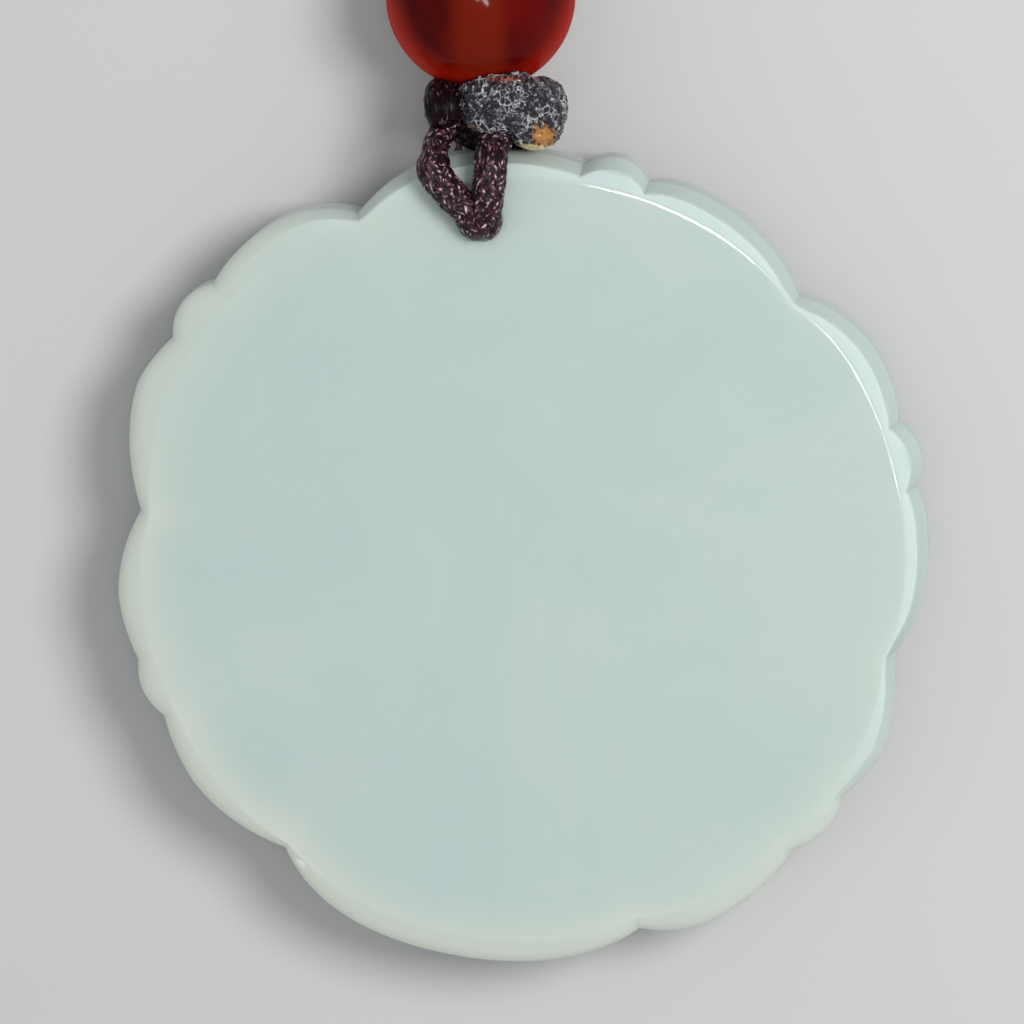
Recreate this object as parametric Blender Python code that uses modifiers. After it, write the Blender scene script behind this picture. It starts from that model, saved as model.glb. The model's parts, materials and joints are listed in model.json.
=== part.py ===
"""A round jade pendant with a petalled rim, lying carved side down, on its cord with a bead.

Run it in Blender 4.5: blender --background --python part.py
Metres, +Z up. The polished back faces up, and +Y runs from the disc towards its bead.
"""
import math
from collections import namedtuple

import bmesh
import bpy
import numpy as np
from mathutils import Matrix, Vector

# Space left between pieces that touch
TOUCH_GAP = 0.00015

# The jade disc, about its own centre
DISC_RADIUS = 0.0220
DISC_THICKNESS = 0.0070
SHOULDER_WIDTH = 0.0014
SHOULDER_DROP = 0.0013
RIM_LIFT = 0.0021
RIM_ROUNDING = 0.0006
HOLE_ANGLE = 96.8
HOLE_FROM_RIM = 0.0035
HOLE_CLEARANCE = 0.00012
HOLE_CHAMFER = 0.0001

# The rim's lobes, anticlockwise from +X, with angles in degrees and radii as shares of DISC_RADIUS.
# Each rises from its own cut to its crest and falls to the next lobe's cut, and a fuller one stays high longer.
# A petal has two halves with a cleft between them. A sepal's tip shows between two petals, or they meet as a pair.
Lobe = namedtuple("Lobe", "kind cut cut_radius crest crest_radius fullness")
LOBES = (
    Lobe("sepal", 11.0, 0.973, 15.7, 1.002, 2.0),
    Lobe("half", 20.5, 0.973, 30.0, 0.998, 2.0),
    Lobe("half", 44.0, 0.930, 64.5, 0.991, 2.2),
    Lobe("sepal", 71.8, 0.968, 76.3, 1.007, 2.0),
    Lobe("half", 81.5, 0.973, 97.0, 0.998, 2.4),
    Lobe("half", 115.6, 0.932, 130.5, 1.023, 2.4),
    Lobe("sepal", 138.7, 1.009, 143.3, 1.039, 2.0),
    Lobe("half", 148.0, 1.010, 155.5, 1.034, 1.5),
    Lobe("half", 173.3, 0.943, 186.5, 1.000, 1.7),
    Lobe("sepal", 195.4, 0.982, 199.3, 0.996, 2.0),
    Lobe("half", 204.2, 0.970, 214.5, 0.989, 1.7),
    Lobe("pair", 231.0, 0.930, 259.0, 1.003, 3.6),
    Lobe("half", 287.5, 0.957, 298.5, 1.007, 2.0),
    Lobe("sepal", 312.8, 0.973, 318.0, 0.995, 2.0),
    Lobe("half", 323.4, 0.973, 331.5, 0.994, 1.5),
    Lobe("half", 345.8, 0.930, 364.0, 0.986, 2.7),
)
BACK_FOLLOWS = 0.4
COLUMN_DEGREES = 2.6

# The carved side: where its forms lie, as shares of the rim's radius, and how deep they are cut.
# A round seed pod, a ring of small petals whose tips are rounded, and the large petals out to the rim.
POD_EDGE = 0.165
POD_GROOVE = 0.205
INNER_TIP = 0.54
INNER_TIP_ROUNDING = 0.10
OUTER_EDGE = 0.86
SEPAL_FROM = 0.84
GROOVE_DEPTH = 0.0011
DISH_DEPTH = 0.0006
SEPAL_DEPTH = 0.0006
VEIN_HEIGHT = 0.0004
FRONT_RINGS = (0.965, 0.92, OUTER_EDGE, 0.79, 0.71, 0.63, 0.565, INNER_TIP, 0.50, 0.44, 0.37, 0.30, 0.25,
               POD_GROOVE, POD_EDGE)

# The cord loop through the hole, whose two legs are squeezed together inside it.
# A leg starts this far along X from the hole, and along Y from the knot's middle.
CORD_DIAMETER = 0.00165
HOLE_SQUEEZE = 0.85
LEG_SPACING = 0.00055
LEG_BEND = 0.0010
LEFT_LEG_START = (-0.0023, -0.0016)
RIGHT_LEG_START = (0.0005, -0.0019)
FRONT_LEG_SPACING = 0.0019
THREAD_COLOUR = (0.035, 0.012, 0.018)

# The knot with its melted end. Each blob is its middle and its half sizes, as shares of half the knot's width.
KNOT_WIDTH = 0.0076
KNOT_FROM_RIM = 0.0020
KNOT_ASIDE = 0.0007
KNOT_BLOBS = (
    ((-0.73, 0.19, 0.10), (0.29, 0.42, 0.80)),
    ((0.00, 0.22, 0.56), (0.66, 0.50, 0.46)),
    ((0.00, 0.06, -0.32), (0.60, 0.46, 0.40)),
    ((0.62, 0.10, 0.15), (0.37, 0.43, 0.66)),
    ((0.58, -0.17, 0.50), (0.36, 0.29, 0.32)),
)

# The bead, which lies with its bore along Y and is drawn up into the soft knot
BEAD_DIAMETER = 0.0101
BEAD_SEAT = 0.00106
BORE_CLEARANCE = 0.00025
BORE_CHAMFER = 0.0002
BEAD_ASIDE = 0.00015
BEAD_STEPS = 14

# The knot above the bead, with its blobs as above
TOP_KNOT_WIDTH = 0.0044
TOP_KNOT_OVER_FLOOR = 0.0046
TOP_KNOT_BLOBS = (
    ((-0.30, -0.10, 0.10), (0.62, 0.62, 0.72)),
    ((0.32, 0.12, -0.08), (0.62, 0.60, 0.74)),
    ((0.02, 0.00, 0.22), (0.60, 0.66, 0.60)),
)
KNOT_BLEND = 3.0
FARTHEST_REACH = 1.6
REACH_STEP = 0.004

# The neck cord: where it leaves the top knot, and the coil that its length is wound into
EXIT_DEGREES = 24.0
COIL_MIDDLE_RADIUS = 0.0091
COIL_GAP = 0.00003
COIL_COLUMNS = 5
COIL_LAYERS = 2
COIL_FROM_EXIT = 0.0240
COIL_APART = 0.0003

SMALL = 1e-6


def clear_scene():
    """Take away whatever the scene starts with."""
    for thing in list(bpy.data.objects):
        bpy.data.objects.remove(thing)


def new_collection(name):
    """A collection of this name, in the scene."""
    collection = bpy.data.collections.new(name)
    bpy.context.scene.collection.children.link(collection)
    return collection


def plain_material(name, colour, roughness):
    """A Principled material that isn't metal."""
    material = bpy.data.materials.new(name)
    material.use_nodes = True
    shader = material.node_tree.nodes["Principled BSDF"]
    shader.inputs["Base Color"].default_value = (*colour, 1.0)
    shader.inputs["Roughness"].default_value = roughness
    shader.inputs["Metallic"].default_value = 0.0
    return material


def add_piece(name, data, collection, material, parent):
    """An object made of this mesh or curve."""
    piece = bpy.data.objects.new(name, data)
    collection.objects.link(piece)
    data.materials.append(material)
    piece.parent = parent
    return piece


def add_cutter(name, mesh, collection, parent):
    """An object that only Booleans use."""
    cutter = bpy.data.objects.new(name, mesh)
    collection.objects.link(cutter)
    cutter.parent = parent
    cutter.hide_render = True
    cutter.display_type = "WIRE"
    return cutter


def join_by_boolean(piece, other, operation):
    """Cut the piece with the other, or join them."""
    boolean = piece.modifiers.new(other.name, "BOOLEAN")
    boolean.operation = operation
    boolean.solver = "EXACT"
    boolean.object = other


def evaluated_mesh(piece):
    """A mesh of the piece with its modifiers applied."""
    bpy.context.view_layer.update()
    shown = piece.evaluated_get(bpy.context.evaluated_depsgraph_get())
    return bpy.data.meshes.new_from_object(shown)


def turned_mesh(profile, steps):
    """A closed mesh turned about Z, from a profile at +X that runs from top to bottom."""
    mesh = bpy.data.meshes.new("profile")
    edges = [(i, i + 1) for i in range(len(profile) - 1)]
    mesh.from_pydata([(x, 0.0, z) for x, z in profile], edges, [])
    blank = bpy.data.objects.new("profile", mesh)
    bpy.context.scene.collection.objects.link(blank)
    screw = blank.modifiers.new("turn", "SCREW")
    screw.steps = steps
    screw.render_steps = steps
    screw.use_smooth_shade = False
    screw.use_merge_vertices = True
    screw.merge_threshold = SMALL
    turned = evaluated_mesh(blank)
    bpy.data.objects.remove(blank)
    return outward(turned)


def outward(mesh):
    """Join points that meet, and turn the mesh's faces to look outward."""
    work = bmesh.new()
    work.from_mesh(mesh)
    bmesh.ops.remove_doubles(work, verts=work.verts, dist=SMALL)
    bmesh.ops.recalc_face_normals(work, faces=work.faces)
    work.to_mesh(mesh)
    work.free()
    return mesh


def smooth_route(points, spacing):
    """Points about this far apart, on a smooth curve through the given ones."""
    given = [Vector(p) for p in points]
    given = [2 * given[0] - given[1], *given, 2 * given[-1] - given[-2]]
    fine = []
    for a, b, c, d in zip(given, given[1:], given[2:], given[3:]):
        for step in range(12):
            t = step / 12
            fine.append(0.5 * (2 * b + (c - a) * t + (2 * a - 5 * b + 4 * c - d) * t**2
                               + (3 * b - a - 3 * c + d) * t**3))
    fine.append(given[-2])
    travelled = np.cumsum([0.0] + [(q - p).length for p, q in zip(fine, fine[1:])])
    count = max(2, round(travelled[-1] / spacing) + 1)
    wanted = np.linspace(0.0, travelled[-1], count)
    axes = [np.interp(wanted, travelled, [p[axis] for p in fine]) for axis in range(3)]
    return [Vector(p) for p in zip(*axes)]


def tube_curve(name, points, diameter, radii=None):
    """A round tube along the points, with filled ends. Each radius is a share of the usual one."""
    curve = bpy.data.curves.new(name, "CURVE")
    curve.dimensions = "3D"
    curve.bevel_depth = diameter / 2
    curve.bevel_resolution = 2
    curve.use_fill_caps = True
    spline = curve.splines.new("POLY")
    spline.points.add(len(points) - 1)
    for i, (point, place) in enumerate(zip(spline.points, points)):
        point.co = (*place, 1.0)
        point.radius = radii[i] if radii else 1.0
    return curve


def meshed_tube(name, points, diameter, radii=None):
    """The same tube as a mesh, for a Boolean."""
    tube = bpy.data.objects.new(name, tube_curve(name, points, diameter, radii))
    bpy.context.scene.collection.objects.link(tube)
    mesh = evaluated_mesh(tube)
    bpy.data.objects.remove(tube)
    return outward(mesh)


def rim_share(angle):
    """The rim's radius at this angle, as a share of DISC_RADIUS."""
    angle = (angle - LOBES[0].cut) % 360.0 + LOBES[0].cut
    index = max(i for i, lobe in enumerate(LOBES) if lobe.cut <= angle + SMALL)
    lobe = LOBES[index]
    following = LOBES[(index + 1) % len(LOBES)]
    if angle < lobe.crest:
        away = (lobe.crest - angle) / (lobe.crest - lobe.cut)
        fall = lobe.crest_radius - lobe.cut_radius
    else:
        away = (angle - lobe.crest) / (lobe.cut + lobe_width(index) - lobe.crest)
        fall = lobe.crest_radius - following.cut_radius
    return lobe.crest_radius - fall * away**lobe.fullness


def lobe_width(index):
    """How many degrees a lobe spans."""
    return (LOBES[(index + 1) % len(LOBES)].cut - LOBES[index].cut) % 360.0


def back_share(angle):
    """The same for the back's edge, which passes over the sepals without following them."""
    for i, lobe in enumerate(LOBES):
        before = LOBES[i - 1]
        after = LOBES[(i + 1) % len(LOBES)]
        turned = (angle - before.crest) % 360.0
        span = (after.crest - before.crest) % 360.0
        if lobe.kind == "sepal" and turned <= span:
            return before.crest_radius + (after.crest_radius - before.crest_radius) * turned / span
    return rim_share(angle)


def petal_side(angle):
    """0 on the middle line of a petal, at its cleft, and 1 on the line between two petals."""
    marks = []
    for before, lobe in zip((LOBES[-1], *LOBES), LOBES):
        if "sepal" not in (before.kind, lobe.kind):
            marks.append((lobe.cut, 0.0))
        if lobe.kind != "half":
            marks.append((lobe.crest, 1.0))
    return float(np.interp(angle, [m[0] for m in marks], [m[1] for m in marks], period=360.0))


def eased(value, start, end):
    """0 before start and 1 after end, with an eased step between."""
    t = min(1.0, max(0.0, (value - start) / (end - start)))
    return t * t * (3.0 - 2.0 * t)


def carved_share(share, side):
    """Where a ring of the carved side passes, because the small petals' tips are rounded."""
    tip = INNER_TIP - INNER_TIP_ROUNDING * (1.0 - side) ** 2
    return float(np.interp(share, (0.0, POD_GROOVE, INNER_TIP, OUTER_EDGE, 1.0),
                           (0.0, POD_GROOVE, tip, OUTER_EDGE, 1.0)))


def carved_height(share, side):
    """How high over the floor the carved side lies, on a ring and at a side as petal_side gives it."""
    if share < POD_EDGE + SMALL:
        return 0.0
    if share < INNER_TIP + SMALL:
        across = 1.0 - side
        groove = GROOVE_DEPTH * max(eased(across, 0.78, 1.0), 1.0 - eased(share, POD_GROOVE, 0.30))
        edge = max(eased(share, 0.42, 0.50), eased(across, 0.40, 0.70))
        return max(groove, DISH_DEPTH * (1.0 - edge))
    step = GROOVE_DEPTH * (1.0 - eased(share, INNER_TIP + 0.03, 0.71))
    edge = max(eased(share, 0.75, OUTER_EDGE), eased(side, 0.52, 0.72))
    dish = DISH_DEPTH * (1.0 - edge)
    vein = VEIN_HEIGHT * (1.0 - eased(side, 0.0, 0.16)) * (1.0 - edge)
    sepal = SEPAL_DEPTH * eased(side, SEPAL_FROM - 0.08, SEPAL_FROM)
    cleft = SEPAL_DEPTH * (1.0 - eased(side, 0.0, 0.12)) * eased(share, OUTER_EDGE, 0.96)
    return RIM_LIFT * eased(share, INNER_TIP, OUTER_EDGE) + max(step, dish - vein, sepal, cleft)


def column_angles():
    """The angle of each column of the disc's mesh, so that every cut has one."""
    angles = []
    for i, lobe in enumerate(LOBES):
        steps = max(4, round(lobe_width(i) / COLUMN_DEGREES))
        angles += [lobe.cut + lobe_width(i) * step / steps for step in range(steps)]
    return angles


def disc_blank_profile():
    """The round blank that the disc is carved from: flat back, shoulder, wall, and rings on the carved side."""
    shoulder = []
    for degrees in (0.0, 30.0, 60.0, 90.0):
        bend = math.radians(degrees)
        shoulder.append((DISC_RADIUS - SHOULDER_WIDTH * (1.0 - math.sin(bend)),
                         DISC_THICKNESS - SHOULDER_DROP * (1.0 - math.cos(bend))))
    wall_end = (DISC_RADIUS, RIM_LIFT + RIM_ROUNDING)
    rings = [(DISC_RADIUS * share, RIM_LIFT) for share in FRONT_RINGS]
    return [(0.0, DISC_THICKNESS), *shoulder, wall_end, *rings, (0.0, 0.0)]


def carved(place, angles):
    """Where a point of the blank goes when the disc is carved."""
    x, y, z = place
    radius = math.hypot(x, y)
    if radius < SMALL:
        return place
    angle = angles[round(math.atan2(y, x) / math.tau * len(angles)) % len(angles)]
    rim = DISC_RADIUS * rim_share(angle)
    share = radius / DISC_RADIUS
    if z > DISC_THICKNESS - SHOULDER_DROP - SMALL:
        back_edge = (DISC_RADIUS - SHOULDER_WIDTH) * (1.0 + BACK_FOLLOWS * (back_share(angle) - 1.0))
        reach = rim + (back_edge - rim) * (DISC_RADIUS - radius) / SHOULDER_WIDTH
    elif share > 1.0 - SMALL:
        reach = rim
    else:
        side = petal_side(angle)
        reach = rim * carved_share(share, side)
        z = carved_height(share, side)
    turn = math.radians(angle)
    return (reach * math.cos(turn), reach * math.sin(turn), z)


def hole_place():
    """The middle of the hole, from the disc's centre."""
    turn = math.radians(HOLE_ANGLE)
    reach = DISC_RADIUS * rim_share(HOLE_ANGLE) - HOLE_FROM_RIM
    return Vector((reach * math.cos(turn), reach * math.sin(turn), 0.0))


def hole_diameter():
    """Room for both legs of the loop, squeezed side by side."""
    return LEG_SPACING + CORD_DIAMETER * HOLE_SQUEEZE + 2 * HOLE_CLEARANCE


def rim_y():
    """How far along Y the rim lies beyond the hole."""
    return hole_place().y + HOLE_FROM_RIM


def make_disc(collection, cutters, parent):
    """The jade disc, turned, carved and drilled."""
    angles = column_angles()
    mesh = turned_mesh(disc_blank_profile(), len(angles))
    for vertex in mesh.vertices:
        vertex.co = carved(tuple(vertex.co), angles)
    jade = plain_material("jade", (0.52, 0.62, 0.57), 0.12)
    disc = add_piece("jade_disc", outward(mesh), collection, jade, parent)

    bore = hole_diameter() / 2
    flare = 3 * HOLE_CHAMFER
    drill = add_cutter("drill", turned_mesh([
        (0.0, DISC_THICKNESS + flare),
        (bore + HOLE_CHAMFER + flare, DISC_THICKNESS + flare),
        (bore, DISC_THICKNESS - HOLE_CHAMFER),
        (bore, RIM_LIFT + flare),
        (bore + flare, RIM_LIFT),
        (bore + flare, -flare),
        (0.0, -flare),
    ], 24), cutters, parent)
    drill.location = hole_place()
    join_by_boolean(disc, drill, "DIFFERENCE")


def knot_place():
    """The middle of the melted knot."""
    return Vector((hole_place().x + KNOT_ASIDE, rim_y() + KNOT_FROM_RIM, BEAD_DIAMETER / 2))


def leg_route(side):
    """One leg of the loop: off the knot, over the back, down the hole, under the rim and up to the knot.

    The side is -1 for the left leg and 1 for the right one, which starts straighter.
    """
    hole = hole_place()
    knot = knot_place()
    over = DISC_THICKNESS + CORD_DIAMETER / 2 + TOUCH_GAP
    under = CORD_DIAMETER / 2 + TOUCH_GAP / 2
    aside, along = LEFT_LEG_START if side < 0 else RIGHT_LEG_START
    start = hole.x + aside
    in_hole = hole.x + side * LEG_SPACING / 2
    lean = (in_hole - start) / 2
    below = hole.x + side * FRONT_LEG_SPACING / 2
    return [
        (start + 0.25e-3, knot.y + along, knot.z + 2.3e-3),
        (start, rim_y() - 0.05e-3, over - 0.2e-3),
        (start, rim_y() - 0.9e-3, over),
        (in_hole - lean, hole.y + LEG_BEND * 1.3, over),
        (in_hole - lean * 0.3, hole.y + LEG_BEND * 0.4, over - LEG_BEND * 0.15),
        (in_hole, hole.y - LEG_BEND * 0.3, over - LEG_BEND * 0.7),
        (in_hole, hole.y - LEG_BEND * 0.15, DISC_THICKNESS - LEG_BEND * 0.5),
        (in_hole, hole.y, DISC_THICKNESS * 0.55),
        (in_hole, hole.y, RIM_LIFT + LEG_BEND * 0.3),
        (in_hole, hole.y + LEG_BEND * 0.35, under + LEG_BEND * 0.35),
        (in_hole, hole.y + LEG_BEND * 1.3, under),
        (below, rim_y() - 0.7e-3, under),
        (below, rim_y() + 0.4e-3, under + 0.1e-3),
        (below, rim_y() + 1.0e-3, under + 0.4e-3),
        (below, rim_y() + 1.35e-3, under + 0.8e-3),
    ]


def leg_radii(points):
    """Thinner inside the hole, as a share of the cord's radius."""
    shares = []
    for point in points:
        inside = 1.0 - eased(point.z, DISC_THICKNESS, DISC_THICKNESS + CORD_DIAMETER * 0.3)
        inside *= eased(point.z, RIM_LIFT - CORD_DIAMETER * 0.3, RIM_LIFT)
        inside *= 1.0 - eased(point.y - hole_place().y, LEG_BEND * 0.5, LEG_BEND)
        shares.append(1.0 - (1.0 - HOLE_SQUEEZE) * inside)
    return shares


def make_loop(collection, cutters, parent):
    """The cord loop, whose two legs are one where they are squeezed in the hole."""
    legs = []
    for side in (-1, 1):
        route = smooth_route(leg_route(side), 0.42 * CORD_DIAMETER)
        legs.append(meshed_tube("leg", route, CORD_DIAMETER, leg_radii(route)))
    thread = plain_material("loop_thread", THREAD_COLOUR, 0.55)
    loop = add_piece("bail_loop", legs[0], collection, thread, parent)
    join_by_boolean(loop, add_cutter("second_leg", legs[1], cutters, parent), "UNION")


def blob_reach(direction, blobs):
    """How far the blended blobs reach from their common middle, in shares of half the knot's width."""
    reach = FARTHEST_REACH
    while reach > REACH_STEP:
        point = direction * reach
        field = 0.0
        for middle, half in blobs:
            away = sum(((point[i] - middle[i]) / half[i]) ** 2 for i in range(3))
            field += math.exp(KNOT_BLEND * (1.0 - away))
        if field >= 1.0:
            break
        reach -= REACH_STEP
    return reach


def knot_mesh(name, blobs, width, segments, rings):
    """A lumpy solid of blended blobs, about its own middle."""
    work = bmesh.new()
    bmesh.ops.create_uvsphere(work, u_segments=segments, v_segments=rings, radius=1.0)
    bmesh.ops.rotate(work, verts=work.verts, matrix=Matrix.Rotation(math.pi / 2, 3, "Y"))
    for vertex in work.verts:
        vertex.co = vertex.co.normalized() * blob_reach(vertex.co.normalized(), blobs) * width / 2
    mesh = bpy.data.meshes.new(name)
    work.to_mesh(mesh)
    work.free()
    return outward(mesh)


def ball_mesh(name, radius):
    """A round ball about its own middle."""
    work = bmesh.new()
    bmesh.ops.create_uvsphere(work, u_segments=36, v_segments=24, radius=radius)
    mesh = bpy.data.meshes.new(name)
    work.to_mesh(mesh)
    work.free()
    return mesh


def knot_end(blobs, width, sense):
    """How far the blended blobs reach along Y, up for a sense of 1 and down for -1."""
    reaches = []
    for degrees in range(-60, 61, 5):
        turn = math.radians(degrees)
        direction = Vector((math.sin(turn), sense * math.cos(turn), 0.0))
        reaches.append(blob_reach(direction, blobs) * math.cos(turn))
    return max(reaches) * width / 2


def bore_radius():
    """The bead's bore, with room for the cord."""
    return CORD_DIAMETER / 2 + BORE_CLEARANCE


def bead_end():
    """From the bead's middle to the rim of its bore's mouth, along the bore."""
    return math.sqrt((BEAD_DIAMETER / 2) ** 2 - (bore_radius() + BORE_CHAMFER) ** 2)


def bead_place():
    """The middle of the bead, which lies on the floor against the knot."""
    reach = knot_end(KNOT_BLOBS, KNOT_WIDTH, 1) - BEAD_SEAT + BEAD_DIAMETER / 2
    return Vector((hole_place().x - BEAD_ASIDE, knot_place().y + reach, BEAD_DIAMETER / 2))


def make_bead(collection, parent):
    """The round bead, turned with its bore and then laid along Y."""
    mouth = math.atan2(bore_radius() + BORE_CHAMFER, bead_end())
    inside = bead_end() - BORE_CHAMFER
    profile = [(bore_radius(), inside)]
    for step in range(BEAD_STEPS + 1):
        turn = mouth + (math.pi - 2 * mouth) * step / BEAD_STEPS
        profile.append((BEAD_DIAMETER / 2 * math.sin(turn), BEAD_DIAMETER / 2 * math.cos(turn)))
    profile += [(bore_radius(), -inside), (bore_radius(), inside)]
    mesh = turned_mesh(profile, 32)
    mesh.transform(Matrix.Rotation(math.pi / 2, 4, "X"))
    agate = plain_material("agate", (0.32, 0.008, 0.004), 0.1)
    bead = add_piece("agate_bead", mesh, collection, agate, parent)
    bead.location = bead_place()


def top_knot_place():
    """The middle of the knot beyond the bead."""
    bead = bead_place()
    reach = bead_end() + TOUCH_GAP + knot_end(TOP_KNOT_BLOBS, TOP_KNOT_WIDTH, -1)
    return Vector((bead.x, bead.y + reach, TOP_KNOT_OVER_FLOOR))


def make_knots(collection, cutters, parent):
    """Both knots, and the cord that runs between them through the bead."""
    melted = plain_material("melted_cord", (0.03, 0.028, 0.03), 0.25)
    knot = add_piece("sealed_knot", knot_mesh("sealed_knot", KNOT_BLOBS, KNOT_WIDTH, 24, 16),
                     collection, melted, parent)
    knot.location = knot_place()
    seat = add_cutter("bead_seat", ball_mesh("bead_seat", BEAD_DIAMETER / 2 + TOUCH_GAP), cutters, parent)
    seat.location = bead_place()
    join_by_boolean(knot, seat, "DIFFERENCE")
    thread = plain_material("knot_thread", THREAD_COLOUR, 0.55)
    top = add_piece("top_knot", knot_mesh("top_knot", TOP_KNOT_BLOBS, TOP_KNOT_WIDTH, 16, 12),
                    collection, thread, parent)
    top.location = top_knot_place()

    bead = bead_place()
    half = Vector((0.0, bead_end(), 0.0))
    inner = plain_material("inner_thread", THREAD_COLOUR, 0.55)
    add_piece("bead_cord", tube_curve("bead_cord", [bead - half, bead + half], CORD_DIAMETER),
              collection, inner, parent)


def exit_direction(side):
    """Which way the neck cord leaves the top knot, on its left or right."""
    turn = math.radians(EXIT_DEGREES)
    return Vector((side * math.sin(turn), math.cos(turn), 0.0))


def exit_place(side):
    """Where the neck cord starts, just clear of the top knot."""
    direction = exit_direction(side)
    reach = blob_reach(direction, TOP_KNOT_BLOBS) * TOP_KNOT_WIDTH / 2
    return top_knot_place() + direction * (reach + TOUCH_GAP)


def coil_place():
    """The middle of the coil, on the floor."""
    return Vector((top_knot_place().x, exit_place(1).y + COIL_FROM_EXIT, 0.0))


def coil_turn_radius():
    """The radius of the coil's outermost turn, along its middle."""
    return COIL_MIDDLE_RADIUS + (CORD_DIAMETER + COIL_GAP) * (COIL_COLUMNS - 1) / 2


def neck_route(side):
    """The neck cord from the knot to the coil, chosen by hand and given from the knot's exit.

    The left one, -1, comes in to the coil's lowest turn, and the right one leaves its highest.
    """
    start = exit_place(side)
    coil = coil_place()
    turn = coil_turn_radius()
    floor = CORD_DIAMETER / 2 + SMALL
    top = floor + (CORD_DIAMETER + COIL_GAP) * (COIL_LAYERS - 1)
    before_coil = math.sqrt((turn + CORD_DIAMETER / 2) ** 2 - (turn - CORD_DIAMETER / 2) ** 2) + COIL_APART
    if side < 0:
        between = [(-2.1e-3, 4.8e-3, 2.3e-3), (-4.2e-3, 7.8e-3, floor), (-7.2e-3, 11.2e-3, floor),
                   (-9.9e-3, 14.6e-3, floor)]
    else:
        between = [(2.1e-3, 4.8e-3, 2.4e-3), (4.2e-3, 7.8e-3, floor), (7.2e-3, 11.2e-3, 1.1e-3),
                   (9.9e-3, 14.6e-3, 2.0e-3)]
    return [
        start,
        start + exit_direction(side) * CORD_DIAMETER,
        *[Vector((start.x + x, start.y + y, z)) for x, y, z in between],
        Vector((coil.x + side * turn, coil.y - before_coil, floor if side < 0 else top)),
    ]


def make_neck_cord(collection, parent):
    """The neck cord: a plain tube on each side of a turned ring that stands for the coil."""
    for name, side in (("neck_cord_out", -1), ("neck_cord_back", 1)):
        thread = plain_material(name + "_thread", THREAD_COLOUR, 0.55)
        points = smooth_route(neck_route(side), 2 * CORD_DIAMETER)
        for point in points:
            point.z = max(point.z, CORD_DIAMETER / 2 + SMALL)
        add_piece(name, tube_curve(name, points, CORD_DIAMETER), collection, thread, parent)

    outer = coil_turn_radius() + CORD_DIAMETER / 2
    inner = 2 * COIL_MIDDLE_RADIUS - outer
    height = (CORD_DIAMETER + COIL_GAP) * (COIL_LAYERS - 1) + CORD_DIAMETER
    rounding = CORD_DIAMETER * 0.3
    section = [
        (inner + rounding, height), (outer - rounding, height), (outer, height - rounding),
        (outer, rounding), (outer - rounding, 0.0), (inner + rounding, 0.0),
        (inner, rounding), (inner, height - rounding), (inner + rounding, height),
    ]
    wound = plain_material("coil_thread", THREAD_COLOUR, 0.55)
    ring = add_piece("neck_cord_coil", turned_mesh(section, 36), collection, wound, parent)
    ring.location = coil_place()


def centre_on_floor(parent, pieces):
    """Put the origin under the middle of the pendant, without its neck cord."""
    low = Vector((math.inf, math.inf))
    high = Vector((-math.inf, -math.inf))
    for piece in pieces:
        mesh = evaluated_mesh(piece)
        for vertex in mesh.vertices:
            place = piece.matrix_world @ vertex.co
            low = Vector((min(low.x, place.x), min(low.y, place.y)))
            high = Vector((max(high.x, place.x), max(high.y, place.y)))
        bpy.data.meshes.remove(mesh)
    parent.location = (-(low.x + high.x) / 2, -(low.y + high.y) / 2, 0.0)


def main():
    """Build the pendant."""
    clear_scene()
    collection = new_collection("jade_pendant")
    cutters = new_collection("cutters")
    parent = bpy.data.objects.new("pendant_frame", None)
    collection.objects.link(parent)
    make_disc(collection, cutters, parent)
    make_loop(collection, cutters, parent)
    make_bead(collection, parent)
    make_knots(collection, cutters, parent)
    own = [piece for piece in collection.objects if piece.type in {"MESH", "CURVE"}]
    make_neck_cord(collection, parent)
    centre_on_floor(parent, own)


main()
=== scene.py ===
import json
import math
from collections import namedtuple

import bmesh
import bpy
import numpy as np
from mathutils import Matrix, Vector, noise


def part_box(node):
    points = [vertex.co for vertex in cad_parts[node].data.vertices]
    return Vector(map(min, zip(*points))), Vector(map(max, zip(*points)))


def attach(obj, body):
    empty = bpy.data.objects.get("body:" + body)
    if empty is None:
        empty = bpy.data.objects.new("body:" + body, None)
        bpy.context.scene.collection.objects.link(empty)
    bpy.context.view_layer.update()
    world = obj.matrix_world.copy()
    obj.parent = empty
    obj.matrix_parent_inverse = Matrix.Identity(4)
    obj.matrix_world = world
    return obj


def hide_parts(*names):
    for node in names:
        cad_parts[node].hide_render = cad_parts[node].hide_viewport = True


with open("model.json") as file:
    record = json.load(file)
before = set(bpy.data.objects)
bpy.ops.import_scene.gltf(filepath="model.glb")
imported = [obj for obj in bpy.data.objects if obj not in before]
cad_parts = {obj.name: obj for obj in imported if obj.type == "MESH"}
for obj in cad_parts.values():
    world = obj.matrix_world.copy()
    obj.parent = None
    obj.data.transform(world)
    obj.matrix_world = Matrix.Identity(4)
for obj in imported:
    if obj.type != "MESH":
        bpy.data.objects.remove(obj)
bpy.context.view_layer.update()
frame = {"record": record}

# The jade pendant lies carved side down on a plain pale surface. The camera looks down on its polished
# back from 40 cm, leaning a little towards the bead and to the right, so that the rim's wall shows there.
mounts = {mount["name"]: mount for mount in frame["record"]["mounts"]}
disc_back = Vector(mounts["polished_back"]["pos_m"])
DISTANCE = 0.40
LEAN_RIGHT = math.radians(4.5)
LEAN_TO_BEAD = math.radians(8.5)
PICTURE_WIDTH = 0.05478
SENSOR_MM = 36.0
CENTRE_RIGHT = 0.0093
CENTRE_DOWN = 0.0483
towards_camera = Vector((math.tan(LEAN_RIGHT), math.tan(LEAN_TO_BEAD), 1.0)).normalized()
camera_right = Vector((0.0, 1.0, 0.0)).cross(towards_camera).normalized()
camera_up = towards_camera.cross(camera_right)
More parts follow.
